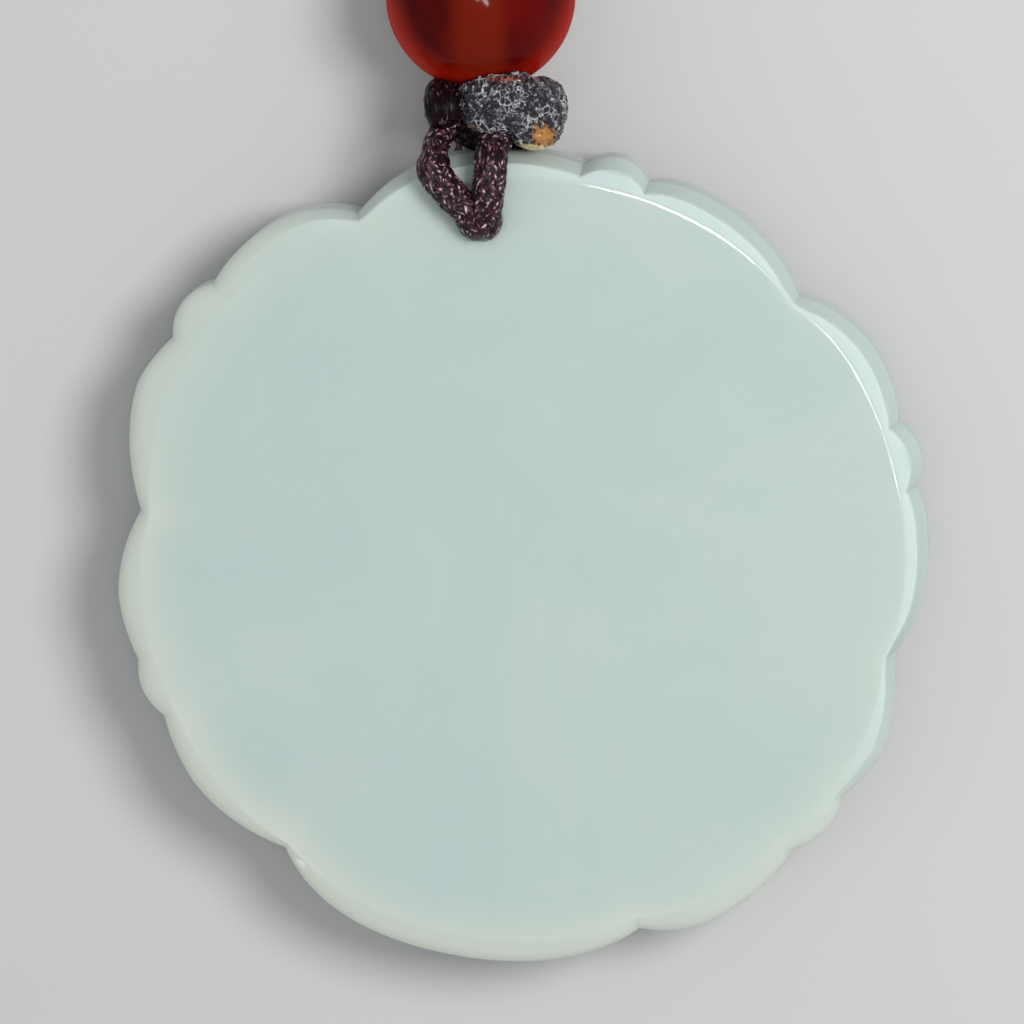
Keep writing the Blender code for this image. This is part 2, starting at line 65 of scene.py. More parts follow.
camera = bpy.data.objects.new("camera", bpy.data.cameras.new("camera"))
bpy.context.scene.collection.objects.link(camera)
turn = Matrix((camera_right, camera_up, towards_camera)).transposed().to_4x4()
camera.matrix_world = Matrix.Translation(disc_back + towards_camera * DISTANCE) @ turn
camera.data.sensor_width = SENSOR_MM
camera.data.lens = DISTANCE / PICTURE_WIDTH * SENSOR_MM
camera.data.shift_x = -CENTRE_RIGHT
camera.data.shift_y = CENTRE_DOWN
camera.data.clip_start = 0.01
bpy.context.scene.camera = camera

# The studio: a pale surface, even light all round and two soft lamps, from the right and from low on the
# left. Two small lamps overhead are mirrored in the back's edge as a thin bright line.
bpy.context.scene.view_settings.view_transform = "Standard"
FLOOR_SIZE = 1.2
FLOOR_COLOUR = (0.62, 0.62, 0.61)
AIR_COLOUR = (0.93, 0.97, 1.0)
AIR_STRENGTH = 0.47
UP = Vector((0.0, 0.0, 1.0))
WHITE = (1.0, 1.0, 1.0)
SoftLamp = namedtuple("SoftLamp", "name direction distance size power colour")
SOFT_LAMPS = (
    SoftLamp("key", (0.48, 0.26, 0.84), 0.30, 0.12, 0.58, (1.0, 0.99, 0.985)),
    SoftLamp("low_lamp", (-0.9, -0.5, 0.30), 0.40, 0.20, 0.16, (1.0, 0.98, 0.92)),
)
EdgeLamp = namedtuple("EdgeLamp", "name degrees wide deep power")
EDGE_LAMPS = (
    EdgeLamp("edge_lamp", 64.0, 0.080, 0.125, 1.10),
    EdgeLamp("thin_edge_lamp", 30.0, 0.130, 0.040, 0.55),
)
EDGE_REACH = 0.0205
EDGE_TILT = math.radians(6.0)
EDGE_LAMP_AWAY = 0.55


def new_material(name, colour, roughness):
    """A Principled material with its node tree and shader."""
    material = bpy.data.materials.new(name)
    material.use_nodes = True
    shader = material.node_tree.nodes["Principled BSDF"]
    shader.inputs["Base Color"].default_value = (*colour, 1.0)
    shader.inputs["Roughness"].default_value = roughness
    return material, material.node_tree, shader


def add_object(name, data, material):
    """An object at the origin that shows this mesh or curve."""
    piece = bpy.data.objects.new(name, data)
    data.materials.clear()
    data.materials.append(material)
    bpy.context.scene.collection.objects.link(piece)
    return piece


def mesh_from(work, name):
    """The finished mesh of a bmesh."""
    mesh = bpy.data.meshes.new(name)
    work.to_mesh(mesh)
    work.free()
    return mesh


def area_lamp(name, direction, distance, size, power, colour):
    """A round lamp that far from the disc in this direction, facing it."""
    lamp = bpy.data.objects.new(name, bpy.data.lights.new(name, "AREA"))
    lamp.data.shape = "DISK"
    lamp.data.size = size
    lamp.data.energy = power
    lamp.data.color = colour
    towards = Vector(direction).normalized()
    lamp.location = disc_back + towards * distance
    lamp.rotation_euler = towards.to_track_quat("Z", "Y").to_euler()
    bpy.context.scene.collection.objects.link(lamp)
    return lamp


for soft_lamp in SOFT_LAMPS:
    area_lamp(*soft_lamp).visible_glossy = False
for edge_lamp in EDGE_LAMPS:
    turned = math.radians(edge_lamp.degrees)
    outward = Vector((math.cos(turned), math.sin(turned), 0.0))
    edge = disc_back + outward * EDGE_REACH
    to_camera = (camera.matrix_world.translation - edge).normalized()
    normal = outward * math.sin(EDGE_TILT) + UP * math.cos(EDGE_TILT)
    towards = (2.0 * normal.dot(to_camera) * normal - to_camera).normalized()
    lamp = area_lamp(edge_lamp.name, towards, EDGE_LAMP_AWAY, edge_lamp.wide, edge_lamp.power, WHITE)
    across = UP.cross(outward)
    across = (across - towards * across.dot(towards)).normalized()
    lamp.location = edge + towards * EDGE_LAMP_AWAY
    lamp.rotation_euler = Matrix((across, towards.cross(across), towards)).transposed().to_euler()
    lamp.data.shape = "ELLIPSE"
    lamp.data.size_y = edge_lamp.deep
    lamp.visible_diffuse = False

world = bpy.data.worlds.new("studio")
bpy.context.scene.world = world
world.use_nodes = True
world.node_tree.nodes["Background"].inputs["Color"].default_value = (*AIR_COLOUR, 1.0)
world.node_tree.nodes["Background"].inputs["Strength"].default_value = AIR_STRENGTH

surface = bmesh.new()
bmesh.ops.create_grid(surface, x_segments=2, y_segments=2, size=FLOOR_SIZE / 2)
floor_material, _, _ = new_material("pale_surface", FLOOR_COLOUR, 0.7)
floor = add_object("floor", mesh_from(surface, "floor"), floor_material)

# The neck cord: dark maroon braided nylon, one long loop that leaves the top knot and comes back to it.
# Its unseen length is wound in a neat coil, in five turns on the floor and four and a half on top of them.
CORD_DIAMETER = 0.00165
BRAID_STRANDS = 8
BRAID_PITCH = 0.0090
BRAID_RELIEF = 0.00017
BRAID_LIFT = 0.00006
BRAID_SETTING = 0.00013
EXIT_DEGREES = 24.0
EXITS = {-1: Vector((-0.00290, 0.03008, 0.00460)), 1: Vector((-0.00146, 0.03033, 0.00460))}
TURN_GAP = 0.00003
COIL_COLUMNS = 5
COIL_APART = 0.0003
POINTS_A_TURN = 36
SHIFT_TURNS = 0.22
NECK_SPACING = 0.00019
NECK_SIDES = 28
CURVE_STEPS = 24
SMALL = 1e-7


def eased(value, start, end):
    """0 before start and 1 after end, with an eased step between."""
    t = np.clip((value - start) / (end - start), 0.0, 1.0)
    return t * t * (3.0 - 2.0 * t)


def smooth_route(points, spacing):
    """Points about this far apart, on a smooth curve through the given ones."""
    given = [Vector(p) for p in points]
    given = [2 * given[0] - given[1], *given, 2 * given[-1] - given[-2]]
    fine = []
    for a, b, c, d in zip(given, given[1:], given[2:], given[3:]):
        for step in range(CURVE_STEPS):
            t = step / CURVE_STEPS
            fine.append(0.5 * (2 * b + (c - a) * t + (2 * a - 5 * b + 4 * c - d) * t**2
                               + (3 * b - a - 3 * c + d) * t**3))
    fine.append(given[-2])
    travelled = np.cumsum([0.0] + [(q - p).length for p, q in zip(fine, fine[1:])])
    wanted = np.linspace(0.0, travelled[-1], max(2, round(travelled[-1] / spacing) + 1))
    axes = [np.interp(wanted, travelled, [p[axis] for p in fine]) for axis in range(3)]
    return np.stack(axes, axis=1)


def points_of(mesh):
    """The mesh's points, one row each."""
    places = np.empty(len(mesh.vertices) * 3)
    mesh.vertices.foreach_get("co", places)
    return places.reshape(-1, 3)


def add_value(mesh, name, values):
    """A number on each point, which the material reads under this name."""
    mesh.attributes.new(name, "FLOAT", "POINT").data.foreach_set("value", values)


def shade_smooth(mesh, sharpest=None):
    """Smooth shading, except over edges that turn by more than these degrees."""
    mesh.polygons.foreach_set("use_smooth", [True] * len(mesh.polygons))
    if sharpest is not None:
        mesh.set_sharp_from_angle(angle=math.radians(sharpest))


def applied(piece):
    """The piece's mesh with its modifiers applied."""
    bpy.context.view_layer.update()
    shown = piece.evaluated_get(bpy.context.evaluated_depsgraph_get())
    return bpy.data.meshes.new_from_object(shown)


def braided_cord(name, route, sides, squeeze=None):
    """A round braided cord along the route, with every crossing strand raised in its mesh."""
    curve = bpy.data.curves.new(name, "CURVE")
    curve.dimensions = "3D"
    curve.bevel_depth = CORD_DIAMETER / 2
    curve.bevel_resolution = (sides - 4) // 2
    curve.use_fill_caps = True
    spline = curve.splines.new("POLY")
    spline.points.add(len(route) - 1)
    spline.points.foreach_set("co", np.column_stack((route, np.ones(len(route)))).ravel())
    if squeeze is not None:
        spline.points.foreach_set("radius", squeeze)
    tube = bpy.data.objects.new(name, curve)
    bpy.context.scene.collection.objects.link(tube)
    mesh = applied(tube)
    bpy.data.objects.remove(tube)

    # A curve's mesh has its two caps first, and then one ring of points for each point of the route.
    places = points_of(mesh)
    order = np.arange(len(places)) - 2 * sides
    ring = np.clip(order // sides, 0, len(route) - 1)
    ring[:sides] = len(route) - 1
    travelled = np.concatenate(([0.0], np.cumsum(np.linalg.norm(np.diff(route, axis=0), axis=1))))
    along = travelled[ring] / BRAID_PITCH
    around = (order % sides) / sides
    first = BRAID_STRANDS * (around + along)
    second = BRAID_STRANDS * (around - along)
    parity = 1.0 - 2.0 * ((np.floor(first) + np.floor(second)) % 2)
    over = BRAID_LIFT * parity * np.sin(math.pi * (second % 1.0))
    under = -BRAID_LIFT * parity * np.sin(math.pi * (first % 1.0))
    first_round = np.sqrt(1.0 - (2.0 * (first % 1.0) - 1.0) ** 2)
    second_round = np.sqrt(1.0 - (2.0 * (second % 1.0) - 1.0) ** 2)
    height = np.maximum(BRAID_RELIEF * first_round + over, BRAID_RELIEF * second_round + under)
    height = height - BRAID_SETTING
    middles = route[ring]
    outward = places - middles
    places = middles + outward * (1.0 + height / (CORD_DIAMETER / 2))[:, None]
    places[:, 2] = np.maximum(places[:, 2], 0.0)
    mesh.vertices.foreach_set("co", places.ravel())

    # The thread's own map: along the strand that lies on top, and across it.
    corner = np.empty(len(mesh.loops), dtype=int)
    mesh.loops.foreach_get("vertex_index", corner)
    owner = np.repeat(np.arange(len(mesh.polygons)), [len(p.vertices) for p in mesh.polygons])
    turn_at = around[corner]
    start_turn = turn_at[np.searchsorted(owner, np.arange(len(mesh.polygons)))][owner]
    turn_at = turn_at - np.round(turn_at - start_turn)
    first_at = BRAID_STRANDS * (turn_at + along[corner])
    second_at = BRAID_STRANDS * (turn_at - along[corner])
    count = np.bincount(owner)
    first_middle = (np.bincount(owner, first_at) / count)[owner]
    second_middle = (np.bincount(owner, second_at) / count)[owner]
    first_on_top = (np.floor(first_middle) + np.floor(second_middle)) % 2 < 0.5
    strand = np.where(first_on_top, np.floor(first_middle), np.floor(second_middle) + 0.5)
    across = np.where(first_on_top, first_at - np.floor(first_middle), second_at - np.floor(second_middle))
    millimetres = travelled[ring][corner] * 1000.0
    thread = mesh.uv_layers.new(name="thread")
    thread.data.foreach_set("uv", np.column_stack((millimetres + strand * 3.7, across)).ravel())
    mesh.uv_layers.active = thread
    add_value(mesh, "crest", np.clip((height + BRAID_SETTING) / BRAID_RELIEF, 0.0, 1.0))
    shade_smooth(mesh)
    work = bmesh.new()
    work.from_mesh(mesh)
    bmesh.ops.remove_doubles(work, verts=work.verts, dist=SMALL)
    return mesh_from(work, name)


def calculated(tree, operation, *values):
    """The result of a Math node on these sockets or numbers."""
    node = tree.nodes.new("ShaderNodeMath")
    node.operation = operation
    for value, socket in zip(values, node.inputs):
        if isinstance(value, float):
            socket.default_value = value
        else:
            tree.links.new(value, socket)
    return node.outputs[0]


def mesh_value(tree, name):
    """The number that add_value put on the mesh under this name."""
    node = tree.nodes.new("ShaderNodeAttribute")
    node.attribute_name = name
    return node.outputs["Fac"]


def stretched(tree, where, scale):
    """These coordinates, stretched along each axis."""
    node = tree.nodes.new("ShaderNodeMapping")
    node.inputs["Scale"].default_value = scale
    tree.links.new(where, node.inputs["Vector"])
    return node.outputs["Vector"]


def noise_node(tree, where, scale, detail, roughness=0.5, distortion=0.0):
    """A noise texture at these coordinates."""
    node = tree.nodes.new("ShaderNodeTexNoise")
    node.inputs["Scale"].default_value = scale
    node.inputs["Detail"].default_value = detail
    node.inputs["Roughness"].default_value = roughness
    node.inputs["Distortion"].default_value = distortion
    tree.links.new(where, node.inputs["Vector"])
    return node


def remapped(tree, value, from_low, from_high, to_low=0.0, to_high=1.0):
    """A value carried from one range into another, and held inside it."""
    node = tree.nodes.new("ShaderNodeMapRange")
    for socket, number in zip(node.inputs[1:5], (from_low, from_high, to_low, to_high)):
        socket.default_value = number
    tree.links.new(value, node.inputs["Value"])
    return node.outputs["Result"]


def ramp(tree, value, *stops):
    """A colour ramp through these stops, each a position and a colour."""
    node = tree.nodes.new("ShaderNodeValToRGB")
    elements = node.color_ramp.elements
    elements[0].position = stops[0][0]
    elements[1].position = stops[-1][0]
    for stop in stops[1:-1]:
        elements.new(stop[0])
    for element, stop in zip(elements, stops):
        element.color = (*stop[1], 1.0)
    tree.links.new(value, node.inputs["Fac"])
    return node.outputs["Color"]


def laid_over(tree, cover, below, colour):
    """This colour laid over the tone below it, as far as the cover says."""
    node = tree.nodes.new("ShaderNodeMix")
    node.data_type = "RGBA"
    node.inputs["B"].default_value = (*colour, 1.0)
    tree.links.new(cover, node.inputs["Factor"])
    tree.links.new(below, node.inputs["A"])
    return node.outputs["Result"]


def add_bump(tree, shader, height, strength, distance, invert=False):
    """Fine relief on the shader's surface."""
    node = tree.nodes.new("ShaderNodeBump")
    node.invert = invert
    node.inputs["Strength"].default_value = strength
    node.inputs["Distance"].default_value = distance
    tree.links.new(height, node.inputs["Height"])
    tree.links.new(node.outputs["Normal"], shader.inputs["Normal"])


def thread_material(name, maroon=(0.095, 0.015, 0.036), painted_glints=(0.72, 0.55, 0.60), shine=0.30):
    """Dark maroon nylon thread, with short glints of light painted on top of each strand and painted shade
    in the dips between strands.
    """
    material, tree, shader = new_material(name, (0.02, 0.006, 0.01), 0.30)
    shader.inputs["Specular IOR Level"].default_value = shine
    where = tree.nodes.new("ShaderNodeUVMap")
    where.uv_map = "thread"
    fibres = noise_node(tree, stretched(tree, where.outputs["UV"], (4.2, 4.2, 1.0)), 1.0, 2.0)
    # Painted light: the crests are lit into glints and the dips between strands are painted dark as shade.
    painted_crest_shading = remapped(tree, mesh_value(tree, "crest"), 0.45, 1.0, -0.16, 0.05)
    lit = calculated(tree, "ADD", fibres.outputs["Fac"], painted_crest_shading)
    colour = ramp(tree, lit, (0.52, (0.006, 0.0015, 0.003)), (0.62, maroon), (0.735, painted_glints))
    tree.links.new(colour, shader.inputs["Base Color"])
    strands = noise_node(tree, stretched(tree, where.outputs["UV"], (1.2, 14.0, 1.0)), 1.0, 3.0)
    add_bump(tree, shader, strands.outputs["Fac"], 0.7, 0.00008)
    return material


coil_low, coil_high = (Vector(corner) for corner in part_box("neck_cord_coil"))
coil_middle = (coil_low + coil_high) / 2
turn_apart = CORD_DIAMETER + TURN_GAP
lower_z = CORD_DIAMETER / 2 + 1e-6
upper_z = lower_z + turn_apart
outer_turn = (coil_high.x - coil_low.x) / 2 - CORD_DIAMETER / 2


def lead_route(side):
    """The neck cord between the knot and the coil, -1 on the left and 1 on the right."""
    start = EXITS[side]
    turn = math.radians(EXIT_DEGREES)
    away = Vector((side * math.sin(turn), math.cos(turn), 0.0))
    low = lower_z if side < 0 else upper_z
    before_coil = math.sqrt(2 * outer_turn * CORD_DIAMETER) + COIL_APART
    if side < 0:
        between = [(-2.1e-3, 4.8e-3, 2.3e-3), (-4.2e-3, 7.8e-3, lower_z), (-7.2e-3, 11.2e-3, lower_z),
                   (-9.9e-3, 14.6e-3, lower_z)]
    else:
        between = [(2.1e-3, 4.8e-3, 2.4e-3), (4.2e-3, 7.8e-3, lower_z), (7.2e-3, 11.2e-3, 1.1e-3),
                   (9.9e-3, 14.6e-3, 2.0e-3)]
    return [
        start - away * CORD_DIAMETER * 0.6,
        start,
        start + away * CORD_DIAMETER,
        *[Vector((start.x + x, start.y + y, z)) for x, y, z in between],
        Vector((coil_middle.x + side * outer_turn, coil_middle.y - before_coil, low)),
    ]


def coil_route():
    """The coil's turns, clockwise from the left: inwards on the floor, up, and outwards on top."""
    points = []
    for step in range(round((2 * COIL_COLUMNS - 0.5) * POINTS_A_TURN) + 1):
        turns = step / POINTS_A_TURN
        whole = math.floor(turns)
        column = whole + float(eased(turns - whole, 1.0 - SHIFT_TURNS, 1.0))
        rise = float(eased(turns, COIL_COLUMNS - 1.5 * SHIFT_TURNS, COIL_COLUMNS - 0.8 * SHIFT_TURNS))
        if turns > COIL_COLUMNS - 1:
            column = max(COIL_COLUMNS - 1, column - 1) if turns > COIL_COLUMNS else COIL_COLUMNS - 1
        inwards = column if turns <= COIL_COLUMNS else 2 * (COIL_COLUMNS - 1) - column
        radius = outer_turn - turn_apart * inwards
        angle = math.pi - math.tau * turns
        points.append(coil_middle + Vector((radius * math.cos(angle), radius * math.sin(angle),
                                            lower_z + (upper_z - lower_z) * rise - coil_middle.z)))
    return points


neck_points = [*lead_route(-1), *coil_route(), *reversed(lead_route(1))]
neck_route = smooth_route(neck_points, NECK_SPACING)
neck_route[:, 2] = np.maximum(neck_route[:, 2], lower_z)
neck_thread = thread_material("neck_braid", (0.045, 0.007, 0.015), (0.36, 0.22, 0.26))
neck_cord = add_object("neck_cord", braided_cord("neck_cord", neck_route, NECK_SIDES), neck_thread)
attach(neck_cord, "root")
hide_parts("neck_cord_out", "neck_cord_coil", "neck_cord_back")

# The jade disc: one round of pale green-grey nephrite with six cut petals, sawn flat and polished on the
# back, and carved on the side that it lies on. Its hole is drilled through near the rim.
JADE_RADIUS = 0.0220
JADE_THICKNESS = 0.0070
SHOULDER_WIDTH = 0.0014
SHOULDER_DROP = 0.0013
SHOULDER_PULL = 0.62
EDGE_SLOPE = math.radians(16.0)
EDGE_ROUNDING = 0.00012
FACET_SHARE = 0.55
BANK_WIDTH = 0.00058
FACET_LEAST = 0.00008
RIM_LIFT = 0.0021
RIM_ROUNDING = 0.0006
HOLE_ANGLE = 96.8
HOLE_FROM_RIM = 0.0035
HOLE_DIAMETER = 0.0021925
HOLE_CHAMFER = 0.0001
BACK_FOLLOWS = 0.4
COLUMN_DEGREES = 0.62
DRILL_STEPS = 64

# Each lobe of the rim rises from its own cut to its crest and falls to the next lobe's cut.
# Angles are in degrees and radii are shares of the disc's radius.
Lobe = namedtuple("Lobe", "kind cut cut_radius crest crest_radius fullness")
LOBES = (
    Lobe("sepal", 11.0, 0.973, 15.7, 1.002, 2.0),
    Lobe("half", 20.5, 0.973, 30.0, 0.998, 2.0),
    Lobe("half", 44.0, 0.930, 64.5, 0.991, 2.2),
    Lobe("sepal", 71.8, 0.968, 76.3, 1.007, 2.0),
    Lobe("half", 81.5, 0.973, 97.0, 0.998, 2.4),
    Lobe("half", 115.6, 0.932, 130.5, 1.023, 2.4),
    Lobe("sepal", 138.7, 1.009, 143.3, 1.039, 2.0),
    Lobe("half", 148.0, 1.010, 155.5, 1.034, 1.5),
    Lobe("half", 173.3, 0.943, 186.5, 1.000, 1.7),
    Lobe("sepal", 195.4, 0.982, 199.3, 0.996, 2.0),
    Lobe("half", 204.2, 0.970, 214.5, 0.989, 1.7),
    Lobe("pair", 231.0, 0.930, 259.0, 1.003, 3.6),
    Lobe("half", 287.5, 0.957, 298.5, 1.007, 2.0),
    Lobe("sepal", 312.8, 0.973, 318.0, 0.995, 2.0),
    Lobe("half", 323.4, 0.973, 331.5, 0.994, 1.5),
    Lobe("half", 345.8, 0.930, 364.0, 0.986, 2.7),
)

# The carved forms, as shares of the rim's radius, and how deep they are cut
POD_EDGE = 0.165
POD_GROOVE = 0.205
INNER_TIP = 0.54
INNER_TIP_ROUNDING = 0.10
OUTER_EDGE = 0.86
SEPAL_FROM = 0.84
GROOVE_DEPTH = 0.0011
DISH_DEPTH = 0.0006
SEPAL_DEPTH = 0.0006
VEIN_HEIGHT = 0.0004
SEED_DEPTH = 0.00035
SEED_RADIUS = 0.00062
SEED_RING = 0.0021
SEEDS = 6
LINE_DEPTH = 0.00007
THICK_SIDE = 45.0


def of_lobe(field):
    """One value of every lobe, as an array."""
    return np.array([getattr(lobe, field) for lobe in LOBES])


def rim_share(angle):
    """The rim's radius at these angles, as a share of the disc's radius."""
    angle = (angle - LOBES[0].cut) % 360.0 + LOBES[0].cut
    index = np.searchsorted(of_lobe("cut"), angle + 1e-6, side="right") - 1
    cut = of_lobe("cut")[index]
    crest = of_lobe("crest")[index]
    following = np.append(of_lobe("cut")[1:], LOBES[0].cut + 360.0)[index]
    rising = angle < crest
    away = np.where(rising, (crest - angle) / (crest - cut), (angle - crest) / (following - crest))
    low = np.where(rising, of_lobe("cut_radius")[index], np.roll(of_lobe("cut_radius"), -1)[index])
    high = of_lobe("crest_radius")[index]
    return high - (high - low) * away ** of_lobe("fullness")[index]


def back_share(angle):
    """The same for the back's edge, which passes over the sepals without following them."""
    share = rim_share(angle)
    for i, lobe in enumerate(LOBES):
        before = LOBES[i - 1]
        after = LOBES[(i + 1) % len(LOBES)]
        turned = (angle - before.crest) % 360.0
        span = (after.crest - before.crest) % 360.0
        passing = before.crest_radius + (after.crest_radius - before.crest_radius) * turned / span
        if lobe.kind == "sepal":
            share = np.where(turned <= span, passing, share)
    return share


def petal_side(angle):
    """0 on the middle line of a petal, at its cleft, and 1 on the line between two petals."""
    marks = []
    for before, lobe in zip((LOBES[-1], *LOBES), LOBES):
        if "sepal" not in (before.kind, lobe.kind):
            marks.append((lobe.cut, 0.0))
        if lobe.kind != "half":
            marks.append((lobe.crest, 1.0))
    return np.interp(angle, [m[0] for m in marks], [m[1] for m in marks], period=360.0)


def carved_share(share, side):
    """Where a ring of the carved side passes, because the small petals' tips are rounded."""
    tip = INNER_TIP - INNER_TIP_ROUNDING * (1.0 - side) ** 2
    inner = POD_GROOVE + (share - POD_GROOVE) / (INNER_TIP - POD_GROOVE) * (tip - POD_GROOVE)
    outer = tip + (share - INNER_TIP) / (OUTER_EDGE - INNER_TIP) * (OUTER_EDGE - tip)
    bent = np.where(share <= INNER_TIP, inner, outer)
    return np.where((share <= POD_GROOVE) | (share >= OUTER_EDGE), share, bent)


def petal_lines(side, start, end, count):
    """Fine lines cut along a petal, between two sides of it."""
    wave = np.cos((side - start) / (end - start) * math.tau * count)
    within = eased(side, start, start + 0.06) * (1.0 - eased(side, end - 0.06, end))
    return LINE_DEPTH * eased(wave, 0.55, 1.0) * within


def carved_height(share, side, x, y):
    """How high over the floor the carved side lies."""
    across = 1.0 - side
    groove = GROOVE_DEPTH * np.maximum(eased(across, 0.78, 1.0), 1.0 - eased(share, POD_GROOVE, 0.30))
    edge = np.maximum(eased(share, 0.42, 0.50), eased(across, 0.40, 0.70))
    small_petal = np.maximum(groove, DISH_DEPTH * (1.0 - edge))
    small_petal += petal_lines(side, 0.30, 1.0, 4) * (1.0 - edge)

    step = GROOVE_DEPTH * (1.0 - eased(share, INNER_TIP + 0.03, 0.71))
    edge = np.maximum(eased(share, 0.75, OUTER_EDGE), eased(side, 0.52, 0.72))
    dish = DISH_DEPTH * (1.0 - edge)
    vein = VEIN_HEIGHT * (1.0 - eased(side, 0.0, 0.16)) * (1.0 - edge)
    sepal = SEPAL_DEPTH * eased(side, SEPAL_FROM - 0.08, SEPAL_FROM)
    cleft = SEPAL_DEPTH * (1.0 - eased(side, 0.0, 0.12)) * eased(share, OUTER_EDGE, 0.96)
    forms = np.maximum(np.maximum(step, dish - vein), np.maximum(sepal, cleft))
    lines = petal_lines(side, 0.14, 0.70, 5) * eased(share, 0.66, 0.74) * (1.0 - eased(share, 0.88, 0.95))
    large_petal = RIM_LIFT * eased(share, INNER_TIP, OUTER_EDGE) + forms + lines

    pod = np.zeros_like(share)
    for seed in range(SEEDS + 1):
        reach = SEED_RING if seed else 0.0
        spot = math.tau * seed / SEEDS
        away = np.hypot(x - reach * math.cos(spot), y - reach * math.sin(spot))
        pod = np.maximum(pod, SEED_DEPTH * (1.0 - eased(away, SEED_RADIUS * 0.35, SEED_RADIUS)))
    pod += GROOVE_DEPTH * eased(share, POD_EDGE, POD_GROOVE)
    height = np.where(share < INNER_TIP + SMALL, small_petal, large_petal)
    return np.where(share < POD_GROOVE, pod, height)


def lobe_columns():
    """The angle of each column of the disc's mesh, so that every cut has one."""
    angles = []
    for lobe, following in zip(LOBES, (*LOBES[1:], LOBES[0])):
        width = (following.cut - lobe.cut) % 360.0
        steps = max(6, round(width / COLUMN_DEGREES))
        angles.append(lobe.cut + width * np.arange(steps) / steps)
    return np.concatenate(angles)


def soft_shoulder(outward):
    """How far the convex shoulder has dropped, this far outward from the flat's edge."""
    t = np.linspace(0.0, 1.0, 200)
    leaving = 3 * t * (1 - t) ** 2
    arriving = 3 * t * t * (1 - t)
    pull = SHOULDER_PULL * SHOULDER_WIDTH
    across = pull * math.cos(EDGE_SLOPE) * leaving + SHOULDER_WIDTH * (arriving + t**3)
    down = pull * math.sin(EDGE_SLOPE) * leaving + SHOULDER_DROP * ((1 - SHOULDER_PULL) * arriving + t**3)
    return np.interp(outward, across, down)


def turned_mesh(name, profile, middle, axis, steps, closed=False):
    """The mesh of a profile of (outward, along) points, turned all the way round an axis."""
    work = bmesh.new()
    start = Vector(middle)
    corners = [work.verts.new(start + Vector((out, 0.0, 0.0)) + axis * along) for out, along in profile]
    following = [*corners[1:], corners[0]] if closed else corners[1:]
    for first, second in zip(corners, following):
        work.edges.new((first, second))
    bmesh.ops.spin(work, geom=work.verts[:] + work.edges[:], axis=axis, cent=middle,
                   angle=math.tau, steps=steps, use_merge=True)
    bmesh.ops.remove_doubles(work, verts=work.verts, dist=SMALL)
    bmesh.ops.recalc_face_normals(work, faces=work.faces)
    return mesh_from(work, name)


FLAT_RADIUS = JADE_RADIUS - SHOULDER_WIDTH
FACET_WIDTH = FACET_SHARE * SHOULDER_WIDTH
facet_rings = FACET_WIDTH * np.array((0.08, 0.22, 0.48, 0.74, 0.93, 1.0, 1.07))
bank_rings = np.linspace(FACET_WIDTH * 1.2, SHOULDER_WIDTH * 0.985, 7)
profile = [(FLAT_RADIUS * share, JADE_THICKNESS) for share in (0.0, 0.3, 0.6, 0.9, 0.98)]
profile += [(FLAT_RADIUS - EDGE_ROUNDING * times, JADE_THICKNESS) for times in (2.0, 1.0)]
profile += [(FLAT_RADIUS - EDGE_ROUNDING / 3, JADE_THICKNESS - EDGE_ROUNDING / 28)]
profile += [(FLAT_RADIUS + out, JADE_THICKNESS - SHOULDER_DROP / 2) for out in (*facet_rings, *bank_rings)]
wall_top = JADE_THICKNESS - SHOULDER_DROP
profile += [(JADE_RADIUS, z) for z in np.linspace(wall_top, RIM_LIFT + RIM_ROUNDING, 6)]
profile += [(JADE_RADIUS * share, RIM_LIFT) for share in np.linspace(0.985, 0.0, 96)]
columns = lobe_columns()
jade_mesh = turned_mesh("jade_disc", profile, (0.0, 0.0, 0.0), UP, len(columns))

points = points_of(jade_mesh)
radius = np.hypot(points[:, 0], points[:, 1])
column = np.round(np.arctan2(points[:, 1], points[:, 0]) / math.tau * len(columns)).astype(int)
angle = columns[column % len(columns)]
side = petal_side(angle)
rim = JADE_RADIUS * rim_share(angle)
flat_edge = FLAT_RADIUS * (1.0 + BACK_FOLLOWS * (back_share(angle) - 1.0))
on_back = points[:, 2] > wall_top - SMALL
on_flat = on_back & (radius < FLAT_RADIUS - EDGE_ROUNDING * 1.5)
on_front = ~on_back & (radius < JADE_RADIUS - SMALL)
share = radius / JADE_RADIUS

# On the thick side the shoulder is a flat facet and a steep bank of even width. Elsewhere it is one soft
# curve.
thick_side = eased(np.cos(np.radians(angle - THICK_SIDE)), -0.1, 0.55)
outward = radius - FLAT_RADIUS
soft_reach = rim + (flat_edge - rim) * (JADE_RADIUS - radius) / SHOULDER_WIDTH
facet_width = np.maximum(rim - BANK_WIDTH - flat_edge, FACET_LEAST)
over_facet = outward / FACET_WIDTH
over_bank = np.clip((outward - FACET_WIDTH) / (SHOULDER_WIDTH - FACET_WIDTH), 0.0, 1.0)
facet_reach = flat_edge + facet_width * np.minimum(over_facet, 1.0)
facet_reach += (rim - flat_edge - facet_width) * over_bank
facet_down = facet_width * math.tan(EDGE_SLOPE)
bank_down = facet_down * np.minimum(over_facet, 1.0) + (SHOULDER_DROP - facet_down) * over_bank
down = soft_shoulder(outward) * (1.0 - thick_side) + bank_down * thick_side
on_shoulder = on_back & (outward > 0.0)
reach = np.where(on_shoulder, soft_reach + (facet_reach - soft_reach) * thick_side, rim)
reach = np.where(on_back & ~on_shoulder, soft_reach, reach)
reach = np.where(on_flat, radius / FLAT_RADIUS * flat_edge, reach)
reach = np.where(on_front, rim * carved_share(share, side), reach)
turned = np.radians(angle)
x = reach * np.cos(turned)
y = reach * np.sin(turned)
z = np.where(on_front, carved_height(share, side, x, y), points[:, 2])
z = np.where(on_shoulder & (outward < SHOULDER_WIDTH - SMALL), JADE_THICKNESS - down, z)
middle = radius < SMALL
x[middle] = 0.0
y[middle] = 0.0
